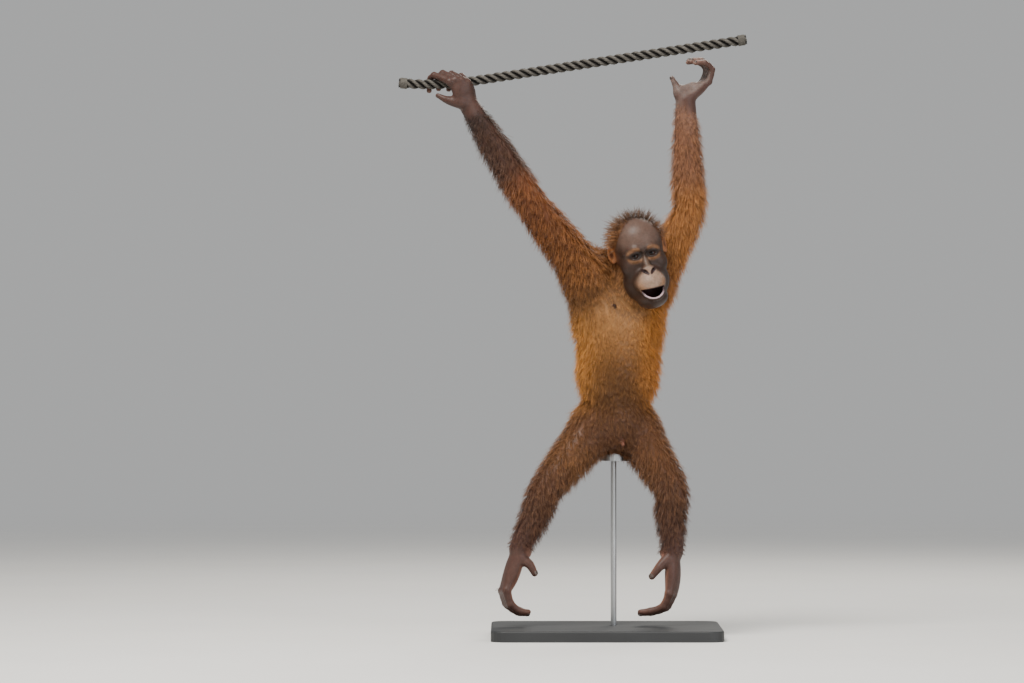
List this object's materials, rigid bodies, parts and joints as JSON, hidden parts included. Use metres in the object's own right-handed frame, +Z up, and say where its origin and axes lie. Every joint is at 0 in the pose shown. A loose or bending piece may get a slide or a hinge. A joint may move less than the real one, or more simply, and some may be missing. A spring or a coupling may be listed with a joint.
{
  "type": "orangutan",
  "caption": "Young orangutan standing upright on bent legs, arms raised to hold a stretched rope overhead, on a plain display stand.",
  "frame": {"origin": "centre of the stand base's underside, on the floor", "axes": "+Z up, the animal faces -Y, +X towards the animal's left hand"},
  "size_m": [0.6901, 0.34, 1.1974],
  "materials": {
    "coat": "long shaggy red-brown hair, paler orange on the sides of the body and dark on the right forearm",
    "face": "bare grey-brown skin, orange-tan round the eyes and pale on the muzzle",
    "skin": "bare purplish-brown skin with pinkish palms and soles",
    "eye": "wet dark brown eyeball",
    "rope": "weathered grey-brown twisted fibre",
    "stand_base": "plain matt dark grey paint on a board",
    "stand_metal": "plain satin steel"
  },
  "bodies": {
    "root": {"head": "face", "ear_L": "face", "ear_R": "face", "eye_L": "eye", "eye_R": "eye", "torso": "coat", "pelvis": "coat", "upper_arm_L": "coat", "upper_arm_R": "coat", "forearm_L": "coat", "forearm_R": "coat", "thigh_L": "coat", "thigh_R": "coat", "shin_L": "coat", "shin_R": "coat", "hand_L": "skin", "hand_R": "skin", "fingers_L": "skin", "fingers_R": "skin", "thumb_L": "skin", "thumb_R": "skin", "foot_L": "skin", "foot_R": "skin", "toes_L": "skin", "toes_R": "skin", "great_toe_L": "skin", "great_toe_R": "skin", "rope": "rope", "stand_base": "stand_base", "stand_rod": "stand_metal", "stand_rest": "stand_metal"}
  },
  "joints": []
}
